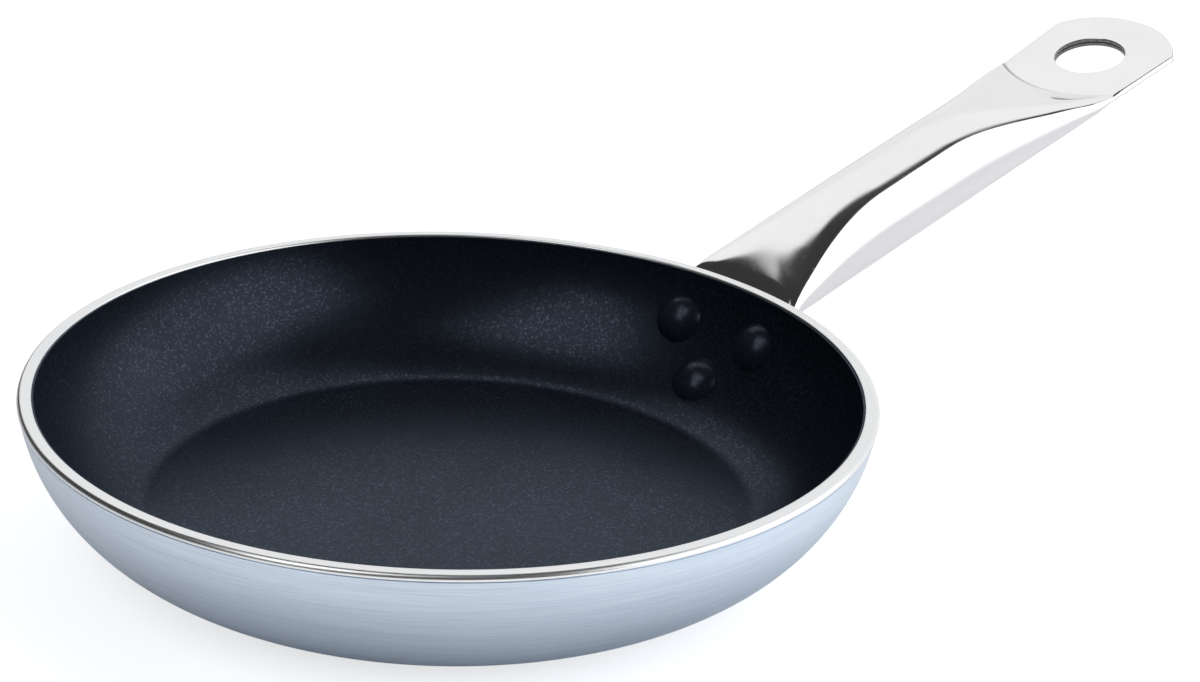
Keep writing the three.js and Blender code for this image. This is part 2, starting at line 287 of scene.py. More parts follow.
def add_piece(bm, name, finishes, node_name):
    """Puts a piece of the pan in the scene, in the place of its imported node."""
    piece = add_object(bm, name, finishes)
    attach(piece, "root")
    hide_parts(node_name)


# Finishes

LINE_RADIUS = 0.1
NOISE_RANGE = (0.3, 0.7)
SCALAR_OUTPUTS = ("LENGTH", "DISTANCE", "DOT_PRODUCT")


class Wiring:
    """Adds nodes to one tree. What goes into a node is a socket, a number, a place or a colour."""

    def __init__(self, owner):
        owner.use_nodes = True
        self.tree = owner.node_tree

    def feed(self, socket, source):
        if isinstance(source, bpy.types.NodeSocket):
            self.tree.links.new(source, socket)
        elif socket.type == "RGBA":
            socket.default_value = (*source[:3], 1)
        else:
            socket.default_value = source

    def add(self, kind, inputs=None, **settings):
        made = self.tree.nodes.new("ShaderNode" + kind)
        for name, value in settings.items():
            setattr(made, name, value)
        for name, source in (inputs or {}).items():
            self.feed(made.inputs[name], source)
        return made

    def calculate(self, operation, *values):
        return self.add("Math", dict(enumerate(values)), operation=operation).outputs[0]

    def join(self, operation, values):
        return functools.reduce(lambda a, b: self.calculate(operation, a, b), values)

    def times(self, *values):
        return self.join("MULTIPLY", values)

    def plus(self, *values):
        return self.join("ADD", values)

    def largest(self, *values):
        return self.join("MAXIMUM", values)

    def vector(self, operation, *values):
        made = self.add("VectorMath", dict(enumerate(values)), operation=operation)
        return made.outputs["Value" if operation in SCALAR_OUTPUTS else "Vector"]

    def remap(self, value, low, high, new_low=0, new_high=1, **settings):
        """Carries a value over from one range to another, and keeps it inside that."""
        ranges = {"From Min": low, "From Max": high, "To Min": new_low, "To Max": new_high}
        return self.add("MapRange", {"Value": value, **ranges}, **settings).outputs["Result"]

    def over_noise(self, value, new_low=0, new_high=1):
        """Spreads the usual range of a noise over another one."""
        return self.remap(value, *NOISE_RANGE, new_low, new_high)

    def soft_edge(self, value, at, width):
        """0 below a place, 1 above it, with a soft edge."""
        return self.remap(value, at - width / 2, at + width / 2, interpolation_type="SMOOTHSTEP")

    def between(self, value, low, high, width):
        """1 between two places and 0 outside them, with soft edges."""
        past_low = self.soft_edge(value, low, width)
        return self.calculate("SUBTRACT", past_low, self.soft_edge(value, high, width))


class Finish(Wiring):
    """A material on the object's own coordinates, of metal unless its constants say otherwise."""

    def __init__(self, name, **constants):
        self.material = bpy.data.materials.new(name)
        super().__init__(self.material)
        self.shader = self.tree.nodes["Principled BSDF"]
        for socket, value in {"Metallic": 1.0, **constants}.items():
            self.shader.inputs[socket.replace("_", " ")].default_value = value
        self.place = self.add("TexCoord").outputs["Object"]

    def part(self, axis):
        return self.add("SeparateXYZ", {0: self.place}).outputs[axis]

    def noise(self, scale, detail, roughness=0.5, place=None):
        inputs = {"Vector": place or self.place, "Scale": scale, "Detail": detail}
        return self.add("TexNoise", {**inputs, "Roughness": roughness}).outputs["Fac"]

    def ring_lines(self, length, width, detail):
        """Noise drawn out round the pan's axis into fine lines of about that length and width."""
        flat = self.vector("MULTIPLY", self.place, (1, 1, 0))
        around = self.vector("MULTIPLY", self.vector("NORMALIZE", flat), (LINE_RADIUS / length,) * 3)
        outward = self.plus(self.vector("LENGTH", flat), self.part("Z"))
        lift = self.add("CombineXYZ", {"Z": self.calculate("DIVIDE", outward, width)})
        return self.noise(1, detail, 0.6, self.vector("ADD", around, lift.outputs[0]))

    def blend(self, factor, first, second):
        """A mix of two colours."""
        return self.add("Mix", {0: factor, 6: first, 7: second}, data_type="RGBA").outputs[2]

    def bump(self, height, strength, depth):
        return self.add("Bump", {"Height": height, "Strength": strength, "Distance": depth}).outputs[0]

    def dress(self, colour, roughness, normal):
        for name, source in (("Base Color", colour), ("Roughness", roughness), ("Normal", normal)):
            self.feed(self.shader.inputs[name], source)
        return self.material

    def follow(self, marks, pale, shades, roughness, strength, depth):
        """Lets the colour, the roughness and the relief of a plain metal follow its marks."""
        dark, bright = (Vector(pale) * part for part in shades)
        colour = self.blend(self.over_noise(marks), dark, bright)
        return self.dress(colour, self.over_noise(marks, *roughness), self.bump(marks, strength, depth))


def brushed_aluminium(colours):
    """Bare aluminium brushed round the wall, with coarse and fine lines."""
    metal = Finish("brushed_aluminium", Anisotropic=0.65, Anisotropic_Rotation=0.25)
    tangent = metal.add("Tangent", direction_type="RADIAL", axis="Z")
    metal.feed(metal.shader.inputs["Tangent"], tangent.outputs[0])
    coarse = metal.ring_lines(length=40 * MM, width=0.55 * MM, detail=4)
    fine = metal.ring_lines(length=9 * MM, width=0.16 * MM, detail=2)
    lines = metal.plus(metal.times(coarse, 0.6), metal.times(fine, 0.4))
    clouds = metal.noise(scale=22, detail=3)
    crests = metal.remap(lines, 0.32, 0.68)
    colour = metal.blend(crests, colours.aluminium_deep, colours.aluminium_pale)
    rough = metal.plus(metal.over_noise(lines, 0.40, 0.29), metal.over_noise(clouds, -0.02, 0.03))
    return metal.dress(colour, rough, metal.bump(lines, strength=0.35, depth=0.05 * MM))


def polished_rim(colours):
    """The turned and polished band of the rim."""
    metal = Finish("polished_rim")
    lines = metal.ring_lines(length=60 * MM, width=0.18 * MM, detail=3)
    return metal.follow(lines, colours.rim, (0.93, 1), (0.34, 0.25), strength=0.2, depth=0.02 * MM)


def turned_base(colours):
    """The underside, turned in fine circles and rubbed by the hob."""
    metal = Finish("turned_base")
    lines = metal.ring_lines(length=30 * MM, width=0.3 * MM, detail=4)
    wear = metal.remap(metal.noise(scale=160, detail=6, roughness=0.7), 0.5, 0.72, 0, 0.55)
    lined = metal.blend(metal.over_noise(lines), colours.aluminium_deep, colours.aluminium_pale)
    colour = metal.blend(wear, lined, Vector(colours.aluminium_deep) * 0.72)
    rough = metal.plus(metal.over_noise(lines, 0.44, 0.32), metal.times(wear, 0.2))
    return metal.dress(colour, rough, metal.bump(lines, strength=0.4, depth=0.05 * MM))


def nonstick(colours, name, roughness, flecks, metallic):
    """Dark satin non-stick with fine bright flakes and a faint orange peel."""
    satin = Finish(
        name, Metallic=metallic, IOR=1.5, Specular_IOR_Level=0.36, Specular_Tint=(0.71, 0.78, 0.89, 1)
    )
    cells = satin.add("TexVoronoi", {"Vector": satin.place, "Scale": 2600})
    pick = satin.add("SeparateColor", {0: cells.outputs["Color"]}).outputs[0]
    grain = satin.noise(scale=2400, detail=1)
    clouds = satin.noise(scale=35, detail=3)
    flakes = satin.times(satin.remap(pick, 0.78, 1), satin.over_noise(clouds, 0.7 * flecks, flecks))
    deep = Vector(colours.coating)
    ground = satin.blend(satin.over_noise(clouds), deep * 0.85, deep * 1.15)
    colour = satin.blend(flakes, ground, colours.fleck)
    rough = satin.remap(grain, 0.25, 0.75, roughness - 0.05, roughness + 0.05)
    rough = satin.calculate("SUBTRACT", rough, satin.times(flakes, 0.12))
    return satin.dress(colour, rough, satin.bump(grain, strength=0.10, depth=0.06 * MM))


def polished_steel(colours, slope, crease_centre, crease_radius):
    """Mirror-polished steel with faint marks of the polishing wheel, and painted shade as a dark line in
    its crease.
    """
    steel = Finish("polished_steel")
    turned = steel.add("Mapping", {"Vector": steel.place, "Rotation": (0, slope, 0)}).outputs[0]
    lines = steel.noise(1, 3, 0.6, steel.vector("MULTIPLY", turned, (60, 2600, 2600)))
    clouds = steel.noise(scale=60, detail=4)
    pits = steel.remap(steel.noise(scale=900, detail=5, roughness=0.75), 0.64, 0.74)
    pale = Vector(colours.steel)
    ground = steel.blend(steel.over_noise(clouds), pale * 0.97, pale)
    pitted = steel.blend(pits, ground, pale * 0.75)
    # Painted shade: the crease is darkened in the base colour, more toward the plate's far side.
    reach = steel.vector("DISTANCE", steel.place, crease_centre)
    off_crease = steel.calculate("ABSOLUTE", steel.calculate("SUBTRACT", reach, crease_radius))
    crease_shade = steel.remap(off_crease, 0.1 * MM, 0.65 * MM, 1, 0)
    shade_to_far_side = steel.remap(steel.part("Y"), -6 * MM, 16 * MM, 0.08, 0.7)
    colour = steel.blend(steel.times(crease_shade, shade_to_far_side), pitted, pale * 0.12)
    rough = steel.plus(
        steel.over_noise(lines, 0.05, 0.085),
        steel.remap(clouds, 0.35, 0.75, 0, 0.03),
        steel.times(pits, 0.3),
    )
    return steel.dress(colour, rough, steel.bump(lines, strength=0.06, depth=0.01 * MM))


def cut_steel(colours):
    """Sheared edges of the steel sheet, rougher than its faces and coloured far darker than steel as
    painted shade.
    """
    steel = Finish("cut_steel")
    grain = steel.noise(scale=1800, detail=4, roughness=0.65)
    # Painted shade: the cut faces at the plate's end and round the hole take a tenth to a third of the
    # steel's colour.
    return steel.follow(grain, colours.steel, (0.08, 0.3), (0.22, 0.4), strength=0.3, depth=0.04 * MM)


def bare_tail(colours):
    """The formed end of a rivet: bare metal with the marks of the forming tool."""
    metal = Finish("rivet_tail")
    marks = metal.noise(scale=700, detail=5, roughness=0.65)
    return metal.follow(marks, colours.tail, (0.8, 1), (0.25, 0.4), strength=0.3, depth=0.05 * MM)


# Pan and coating

CENTRE_MARK_RADIUS = 1.6 * MM
CENTRE_MARK_DEPTH = 0.4 * MM
RING_GROOVE = ((-0.45 * MM, 0), (-0.15 * MM, 1), (0.15 * MM, 1), (0.45 * MM, 0))
RIM_GROOVE_DEPTH = 0.3 * MM
RIM_GROOVE_FOOT = 0.04 * MM
RIM_GROOVE_TOP = 0.30 * MM
RIM_GROOVE_DRAFT = 0.01 * MM
RIM_LIP = 0.42 * MM
RIM_LIP_DRAFT = 0.04 * MM
POLISH_FROM = 0.2 * MM
BASE_DEPTH = 1 * MM
WALL_STEPS = 30
RIM_STEPS = 10
RIM_EDGE_STEPS = 4
HIDDEN_WALL_STEPS = 16
COATING_STEPS = 36
FILLET_STEPS = 8
FLOOR_PARTS = (0.75, 0.5, 0.25, 0)
PAN_SHARP_ANGLE = radians(38)
SHARP_ANGLE = radians(50)


def inside_down(line, pan, wall, set_back, arc_steps):
    """Carries the profile from the rim down the inside of the wall and over the floor."""
    radius = wall.inside + set_back
    floor = pan.floor_thickness - set_back
    fillet = pan.floor_fillet + set_back
    fillet_drop = drop_to(wall, radius - fillet, floor + fillet)
    fillet_x = wall.centre.x + (radius - fillet) * cos(fillet_drop)
    top_drop = drop_to(wall, radius, line.end.co.z)
    line.arc(wall.centre, top_drop - fillet_drop, arc_steps)
    line.arc(Vector((fillet_x, floor + fillet)), fillet_drop - pi / 2, FILLET_STEPS)
    for part in FLOOR_PARTS:
        line.to(fillet_x * part, floor)


def inside_radius_at(wall, set_back, height):
    radius = wall.inside + set_back
    return wall.centre.x + radius * cos(drop_to(wall, radius, height))


class FRYINGPAN_OT_pan(bpy.types.Operator):
    """Turn the aluminium pan with its ringed underside, brushed wall and polished rim"""

    bl_idname = "frying_pan.make_pan"
    bl_label = "Make Pan"

    def execute(self, context):
        pan = context.scene.frying_pan_sizes
        colours = context.scene.frying_pan_colours
        wall = wall_arc(pan)
        band_foot = pan.height - pan.rim_rounding - pan.rim_step
        line = Profile(0, CENTRE_MARK_DEPTH)
        self.draw_underside(line, pan)
        wall_turn = drop_to(wall, wall.radius, 0) - drop_to(wall, wall.radius, band_foot)
        line.arc(wall.centre, wall_turn, WALL_STEPS)
        self.draw_rim(line, pan, band_foot)
        set_back = pan.coating_thickness + pan.coating_fit
        edge_height = pan.height - pan.rim_edge
        edge = Vector((inside_radius_at(wall, set_back, edge_height) + pan.rim_edge, edge_height))
        line.to(edge.x, pan.height)
        line.arc(edge, pi / 2, RIM_EDGE_STEPS)
        inside_down(line, pan, wall, set_back, HIDDEN_WALL_STEPS)
        bm = line.turn(pan.turning_steps)
        for face in bm.faces:
            spot = face.calc_center_median()
            if spot.z > band_foot + POLISH_FROM:
                face.material_index = 1
            elif hypot(spot.x, spot.y) < pan.base_radius and spot.z < BASE_DEPTH:
                face.material_index = 2
        shade(bm, PAN_SHARP_ANGLE)
        finishes = [brushed_aluminium(colours), polished_rim(colours), turned_base(colours)]
        add_piece(bm, "turned_pan", finishes, "pan_body")
        return {"FINISHED"}

    def draw_underside(self, line, pan):
        line.to(CENTRE_MARK_RADIUS, 0)
        spacing = pan.base_radius / (pan.base_rings + 1)
        for ring in range(1, pan.base_rings + 1):
            for across, depth in RING_GROOVE:
                line.to(ring * spacing + across, depth * pan.base_ring_depth)
        line.to(pan.base_radius, 0)

    def draw_rim(self, line, pan, band_foot):
        """The groove under the rim, the lip over it and the rounded outer edge."""
        groove = line.end.co.x - RIM_GROOVE_DEPTH
        corner_height = pan.height - pan.rim_rounding
        line.to(groove, band_foot + RIM_GROOVE_FOOT)
        line.to(groove + RIM_GROOVE_DRAFT, band_foot + RIM_GROOVE_TOP)
        line.to(pan.rim_radius - RIM_LIP_DRAFT, band_foot + RIM_LIP)
        line.to(pan.rim_radius, corner_height)
        corner = Vector((pan.rim_radius - pan.rim_rounding, corner_height))
        line.arc(corner, pi / 2, RIM_STEPS)


class FRYINGPAN_OT_coating(bpy.types.Operator):
    """Lay the dark non-stick layer over the floor and the inside of the wall"""

    bl_idname = "frying_pan.make_coating"
    bl_label = "Make Coating"

    def execute(self, context):
        pan = context.scene.frying_pan_sizes
        colours = context.scene.frying_pan_colours
        wall = wall_arc(pan)
        top = pan.height - pan.rim_edge
        line = Profile(inside_radius_at(wall, pan.coating_thickness, top), top)
        start = line.end
        line.to(inside_radius_at(wall, 0, top), top)
        inside_down(line, pan, wall, 0, COATING_STEPS)
        line.end = start
        inside_down(line, pan, wall, pan.coating_thickness, COATING_STEPS)
        bm = line.turn(pan.turning_steps)
        shade(bm, SHARP_ANGLE)
        finish = nonstick(colours, "nonstick_coating", roughness=0.33, flecks=1.0, metallic=0.72)
        add_piece(bm, "dark_coating", [finish], "nonstick_coating")
        return {"FINISHED"}


# Handle

SWELL_LENGTH = 34 * MM
FOLD_FROM, FOLD_TO = -5 * MM, 12 * MM
FLAT_FROM, FLAT_TO = -15 * MM, 4 * MM
FIRST_FOLD = 4
FINE_STEPS = 120
SECTION_STEP = 0.4 * MM
SECTION_MARGIN = 4 * MM
BAND_START = 2 * MM
PLACING_ROUNDS = 4
CROWN_SHARE = 0.8
HOLE_CELLS = 13
HOLE_REACH = 20
ZONE_ROWS = {"tongue": 26, "tube": 90, "swell": 34, "plate": 2 * HOLE_REACH + 18}
EASED_ROWS = range(9, 2, -1)
EASING_ROUNDS = 2
EDGE_SEGMENTS = 3


def handle_layout(pan, handle, rivets):
    """Where the handle bends, opens, closes and ends, from its sizes."""
    wall = wall_arc(pan)
    at = SimpleNamespace(wall=wall, handle=handle, pan=pan)
    at.flat = handle.tube_wall + handle.flat_gap / 2
    at.tongue_radius = wall.radius + handle.wall_clearance + at.flat
    tube_start = Vector((pan.rim_radius, pan.height - handle.below_rim))
    above = (wall.centre - tube_start).dot(left_of(handle.tube_rise))
    reach = at.tongue_radius + handle.bend_radius
    at.bend_drop = asin((handle.bend_radius + above) / reach) - handle.tube_rise
    at.bend_heading = pi / 2 - at.bend_drop
    at.bend_length = handle.bend_radius * (at.bend_heading - handle.tube_rise)
    at.bend_centre = wall.centre - left_of(at.bend_heading) * reach
    at.plate_start = handle.hole_distance - handle.plate_before_hole
    at.plate_end = handle.hole_distance + handle.plate_past_hole
    at.swell_start = at.plate_start - SWELL_LENGTH
    at.lift_to = at.plate_start - handle.lift_before_plate
    at.lift_from = at.lift_to - handle.lift_length
    at.lift_radius = handle.lift_length / (handle.plate_rise - handle.tube_rise)
    at.upper_drop = drop_to(wall, wall.inside, pan.height - rivets.upper_below_rim)
    at.lower_drop = drop_to(wall, wall.inside, pan.height - rivets.lower_below_rim)
    below_bend = at.tongue_radius * (at.lower_drop - at.bend_drop)
    at.tongue_end = -at.bend_length - below_bend - rivets.tongue_past_rivet
    at.tongue_arc = half_width(at, at.tongue_end) - rivets.tongue_shoulder
    corner = half_width(at, at.plate_end - handle.plate_end_crown)
    at.plate_arc = (corner**2 + handle.plate_end_crown**2) / (2 * handle.plate_end_crown)
    return at


def openness(at, along, side):
    """0 where the tube is flat, 1 where it is round."""
    handle = at.handle
    to_centre = max(at.plate_start + handle.crease_radius - along, 0)
    before_plate = hypot(to_centre, side) - handle.crease_radius
    opening = clamp((along + handle.opening_lead) / handle.opening_length, 0, 1)
    closing = clamp(before_plate / handle.closing_length, 0, 1)
    opened = sin(opening * pi / 2) ** handle.opening_ease
    return opened * sin(closing * pi / 2)


def half_height(at, along, side):
    return mix(at.flat, at.handle.tube_radius, openness(at, along, side))


def half_width(at, along):
    """The tube keeps its girth as it is flattened, and the end plate flares a little."""
    height = half_height(at, along, 0)
    flare = at.handle.plate_flare * max(along - at.plate_start, 0)
    return pi / 2 * (at.handle.tube_radius - height) + height + flare


def spine(at, along):
    """The middle line of the tube in radius and height, its heading and how far it wraps the wall."""
    handle = at.handle
    wrap = smooth_step(handle.unwrap_length - along, 0, handle.unwrap_length + at.bend_length)
    if along >= 0:
        lifted = clamp(along - at.lift_from, 0, handle.lift_length)
        heading = handle.tube_rise + lifted / at.lift_radius
        point = at.bend_centre + left_of(handle.tube_rise) * (handle.bend_radius + at.lift_radius)
        point += ahead_of(handle.tube_rise) * min(along, at.lift_from)
        point -= left_of(heading) * at.lift_radius
        point += ahead_of(heading) * max(along - at.lift_to, 0)
    elif along >= -at.bend_length:
        heading = handle.tube_rise - along / handle.bend_radius
        point = at.bend_centre + left_of(heading) * handle.bend_radius
    else:
        heading = at.bend_heading + (along + at.bend_length) / at.tongue_radius
        point = at.wall.centre - left_of(heading) * at.tongue_radius
    return point, heading, wrap


def place_on_tube(at, along, side, rise):
    """A point of the tube, from its place along it, to its side and above its middle line."""
    point, heading, wrap = spine(at, along)
    spot = point + left_of(heading) * rise
    if wrap == 0:
        return Vector((spot.x, side, spot.y))
    curl = wrap / spot.x
    return Vector((spot.x - (1 - cos(curl * side)) / curl, sin(curl * side) / curl, spot.y))


def section_shape(at, along, inset):
    """Half the width of the section, and how round its sides are."""
    width = half_width(at, along) - inset
    return width, (half_height(at, along, width) - inset) / width


def section_rise(at, along, side, inset):
    """Height of the section at a place to its side: a rounded tube that turns into a folded plate."""
    width, roundness = section_shape(at, along, inset)
    high = half_height(at, along, side) - inset
    rounded = sqrt(max(1 - (side / width) ** (2 / roundness), 0))
    past_crease = along - at.plate_start
    on_plate = smooth_step(past_crease, FOLD_FROM, FOLD_TO)
    fold = at.handle.plate_fold * mix(FIRST_FOLD, 1, on_plate) - inset
    folded = sqrt(max(1 - (max(side - width + fold, 0) / fold) ** 2, 0))
    return high * mix(rounded, folded, smooth_step(past_crease, FLAT_FROM, FLAT_TO))


def section_quarter(at, along, inset):
    """A quarter of the section from its side to its crown, shared out by length and turning."""
    width, roundness = section_shape(at, along, inset)
    fine = []
    for step in range(FINE_STEPS + 1):
        angle = step / FINE_STEPS * pi / 2
        side = width * max(cos(angle), 0) ** roundness
        fine.append(Vector((side, section_rise(at, along, side, inset))))
    legs = [b - a for a, b in zip(fine, fine[1:])]
    length = sum(leg.length for leg in legs)
    shares = [0]
    for index, leg in enumerate(legs):
        before = legs[max(index - 1, 0)]
        turning = abs(atan2(before.cross(leg), before.dot(leg)))
        shares.append(shares[-1] + leg.length / length + turning / tau)
    quarter = []
    index = 0
    steps = at.handle.quarter_steps
    for step in range(steps + 1):
        wanted = shares[-1] * step / steps
        while index < len(legs) - 1 and shares[index + 1] < wanted:
            index += 1
        part = (wanted - shares[index]) / (shares[index + 1] - shares[index])
        quarter.append(fine[index] + legs[index] * clamp(part, 0, 1))
    return quarter


class Sections:
    """Sections of the tube at close steps along it, and any place between them."""

    def __init__(self, at, inset):
        self.start = at.tongue_end - SECTION_MARGIN
        count = int((at.plate_end + SECTION_MARGIN - self.start) / SECTION_STEP) + 2
        places = [self.start + SECTION_STEP * step for step in range(count)]
        self.quarters = [section_quarter(at, along, inset) for along in places]
        self.quarter = at.handle.quarter_steps

    def at(self, along, index):
        """Side and rise of one point of the ring: +Y side first, then over the crown."""
        spot = max((along - self.start) / SECTION_STEP, 0)
        low = min(int(spot), len(self.quarters) - 2)
        turn, left = divmod(index, self.quarter)
        corner = left if turn % 2 == 0 else self.quarter - left
        point = self.quarters[low][corner].lerp(self.quarters[low + 1][corner], spot - low)
        side = point.x if turn in (0, 3) else -point.x
        rise = point.y if turn in (0, 1) else -point.y
        return side, rise


def crease_at(at, side):
    radius = at.handle.crease_radius
    return at.plate_start + radius - sqrt(max(radius**2 - side**2, 0))


def plate_end_at(at, side):
    return at.plate_end - at.plate_arc + sqrt(max(at.plate_arc**2 - side**2, 0))


def tongue_end_at(at, side):
    reach = sqrt(max(at.tongue_arc**2 - side**2, 0))
    return at.tongue_end + at.tongue_arc - at.tongue_radius * asin(reach / at.tongue_radius)


def station_along(at, station, side):
    """Bends a station's line so that it follows the tongue's end, the crease and the plate's end."""
    zone, part = station
    if zone == "tongue":
        return mix(tongue_end_at(at, side), -at.bend_length, part)
    if zone == "tube":
        return mix(-at.bend_length, at.swell_start, part)
    if zone == "swell":
        return mix(at.swell_start, crease_at(at, side), part)
    return mix(crease_at(at, side), plate_end_at(at, side), part)


def band_drop(at, along, side):
    """The plate is bent down a little in a band along its far side."""
    handle = at.handle
    into_band = clamp((side - half_width(at, along) + handle.far_band) / handle.far_band, 0, 1)
    on_plate = smooth_step(along - crease_at(at, side), 0, BAND_START)
    return handle.far_band_drop * into_band * on_plate


def ring_places(at, sections, station, inset):
    """The points of one ring as places along the tube, to the side and above its middle line."""
    places = []
    for index in range(4 * sections.quarter):
        side = 0
        for _ in range(PLACING_ROUNDS):
            along = station_along(at, station, side)
            side, rise = sections.at(along, index)
        if abs(side) < CROWN_SHARE * half_width(at, along):
            rise = copysign(section_rise(at, along, abs(side), inset), rise)
        places.append([along, side, rise - band_drop(at, along, side)])
    return places


def open_hole(at, rings, middle, centre):
    """Draws the rows and columns about the hanging hole out into circles, so that its edge is round."""
    radius = at.handle.hole_radius
    _, centre_side, rise = rings[middle][centre]
    side_radius = radius if rings[middle][centre + 1][1] > centre_side else -radius
    reach = range(1 - HOLE_REACH, HOLE_REACH)
    drawn = {}
    for row, column in itertools.product(reach, reach):
        ring = max(abs(row), abs(column))
        if ring == 0:
            continue
        if abs(row) >= abs(column):
            slant = column / ring * pi / 4
            ahead, across = copysign(cos(slant), row), sin(slant)
        else:
            slant = row / ring * pi / 4
            ahead, across = sin(slant), copysign(cos(slant), column)
        outer_row = middle + round(row * HOLE_REACH / ring)
        far = rings[outer_row][centre + round(column * HOLE_REACH / ring)]
        part = (ring - HOLE_CELLS) / (HOLE_REACH - HOLE_CELLS)
        along = mix(at.handle.hole_distance + radius * ahead, far[0], part)
        drawn[middle + row, centre + column] = [along, mix(side_radius * across, far[1], part), rise]
    for (row, column), spot in drawn.items():
        rings[row][column] = spot


def handle_skin(at, inset, hole_row, hole_columns):
    """Rings of points of the outside of the tube, or of its inside, with the hole's rows drawn round."""
    sections = Sections(at, inset)
    stations = [(zone, row / rows) for zone, rows in ZONE_ROWS.items() for row in range(rows)]
    stations.append(("plate", 1))
    rings = [ring_places(at, sections, station, inset) for station in stations]
    for column in hole_columns:
        open_hole(at, rings, hole_row, column)
    return [[place_on_tube(at, *spot) for spot in ring] for ring in rings]


def ring_edges(bm, ring):
    return [bm.edges.get((a, b)) for a, b in zip(ring, ring[1:] + ring[:1])]


def carry_on(bm, ring, points):
    """Extrudes a ring of the skin and moves the new ring to its points."""
    made = bmesh.ops.extrude_edge_only(bm, edges=ring_edges(bm, ring))
    fresh = {item for item in made["geom"] if isinstance(item, bmesh.types.BMVert)}
    moved = []
    for vert, point in zip(ring, points):
        ends = (edge.other_vert(vert) for edge in vert.link_edges)
        partner = next(end for end in ends if end in fresh)
        partner.co = point
        moved.append(partner)
    return moved


def draw_tube(bm, outer, inner):
    """Draws the outside from the tongue to the plate's end, and the inside back again."""
    ring = bmesh.ops.create_circle(bm, segments=len(outer[0]), radius=1)["verts"]
    for vert, point in zip(ring, outer[0]):
        vert.co = point
    outside = [ring]
    for points in outer[1:]:
        outside.append(carry_on(bm, outside[-1], points))
    inside = [carry_on(bm, outside[-1], inner[-1])]
    for points in reversed(inner[:-1]):
        inside.append(carry_on(bm, inside[-1], points))
    inside.reverse()
    bmesh.ops.bridge_loops(bm, edges=ring_edges(bm, outside[0]) + ring_edges(bm, inside[0]))
    return outside, inside


def ease_bend(bm, at, outside, inside):
    """Smooths the rows about the end of the bend, in ever fewer rows."""
    bend_part = at.bend_length / (at.bend_length + at.swell_start)
    bend_row = ZONE_ROWS["tongue"] + round(ZONE_ROWS["tube"] * bend_part)
    axes = {"use_axis_x": True, "use_axis_y": True, "use_axis_z": True}
    for reach in EASED_ROWS:
        rows = range(bend_row - reach, bend_row + reach + 1)
        eased = [vert for row in rows for vert in outside[row] + inside[row]]
        for _ in range(EASING_ROUNDS):
            bmesh.ops.smooth_vert(bm, verts=eased, factor=0.5, **axes)


def hole_loop(skin, middle, centre):
    """The verts round the hanging hole in one layer, in order."""
    reach = range(-HOLE_CELLS, HOLE_CELLS)
    walk = [(-HOLE_CELLS, c) for c in reach] + [(r, HOLE_CELLS) for r in reach]
    walk += [(HOLE_CELLS, -c) for c in reach] + [(-r, -HOLE_CELLS) for r in reach]
    return [skin[middle + r][centre + c] for r, c in walk]


def faces_within(bm, verts):
    """The faces whose corners are all among some verts."""
    return [face for face in bm.faces if verts.issuperset(face.verts)]


def cut_hole(bm, outside, inside, middle, centre):
    """Opens the hole in one side of the plate and walls it. Gives back its outer edges."""
    edges = [ring_edges(bm, hole_loop(skin, middle, centre)) for skin in (outside, inside)]
    cells = range(-HOLE_CELLS, HOLE_CELLS + 1)
    rows = [skin[middle + row] for skin in (outside, inside) for row in cells]
    block = {row[centre + column] for row in rows for column in cells}
    bmesh.ops.delete(bm, geom=faces_within(bm, block), context="FACES")
    made = bmesh.ops.bridge_loops(bm, edges=edges[0] + edges[1])
    for face in made["faces"]:
        face.material_index = 1
    return edges[0]


class FRYINGPAN_OT_handle(bpy.types.Operator):
    """Draw the polished tube from its tongue on the wall to its flattened plate with the hanging hole"""

    bl_idname = "frying_pan.make_handle"
    bl_label = "Make Handle"

    def execute(self, context):
        scene = context.scene
        handle = scene.frying_pan_handle
        colours = scene.frying_pan_colours
        at = handle_layout(scene.frying_pan_sizes, handle, scene.frying_pan_rivets)
        hole_part = handle.plate_before_hole / (handle.plate_before_hole + handle.plate_past_hole)
        plate_rows = ZONE_ROWS["plate"]
        hole_row = sum(ZONE_ROWS.values()) - plate_rows + round(plate_rows * hole_part)
        hole_columns = (handle.quarter_steps, 3 * handle.quarter_steps)
        skins = [handle_skin(at, inset, hole_row, hole_columns) for inset in (0, handle.tube_wall)]
        bm = bmesh.new()
        outside, inside = draw_tube(bm, *skins)
        ease_bend(bm, at, outside, inside)
        cut_edges = ring_edges(bm, outside[-1])
        for column in hole_columns:
            cut_edges += cut_hole(bm, outside, inside, hole_row, column)
        bmesh.ops.recalc_face_normals(bm, faces=bm.faces)
        for face in faces_within(bm, {*outside[-1], *inside[-1]}):
            face.material_index = 1
        rounding = {"offset": handle.edge_rounding, "segments": EDGE_SEGMENTS, "profile": 0.5}
        bmesh.ops.bevel(bm, geom=cut_edges, affect="EDGES", material=-1, **rounding)
        shade(bm, SHARP_ANGLE)
        crease_centre = place_on_tube(at, at.plate_start + handle.crease_radius, 0, at.flat)
        steel = polished_steel(colours, handle.tube_rise, crease_centre, handle.crease_radius)
        add_piece(bm, "polished_handle", [steel, cut_steel(colours)], "handle_tube")
        return {"FINISHED"}


# Rivets

HEAD_SINK = 0.5 * MM
TAIL_SINK = 0.5 * MM
TAIL_MARK_RADIUS = 1.6 * MM
TAIL_MARK_DEPTH = 0.25 * MM
COATED_DEPTH = 1 * MM
DOME_STEPS = 20
TAIL_STEPS = 8


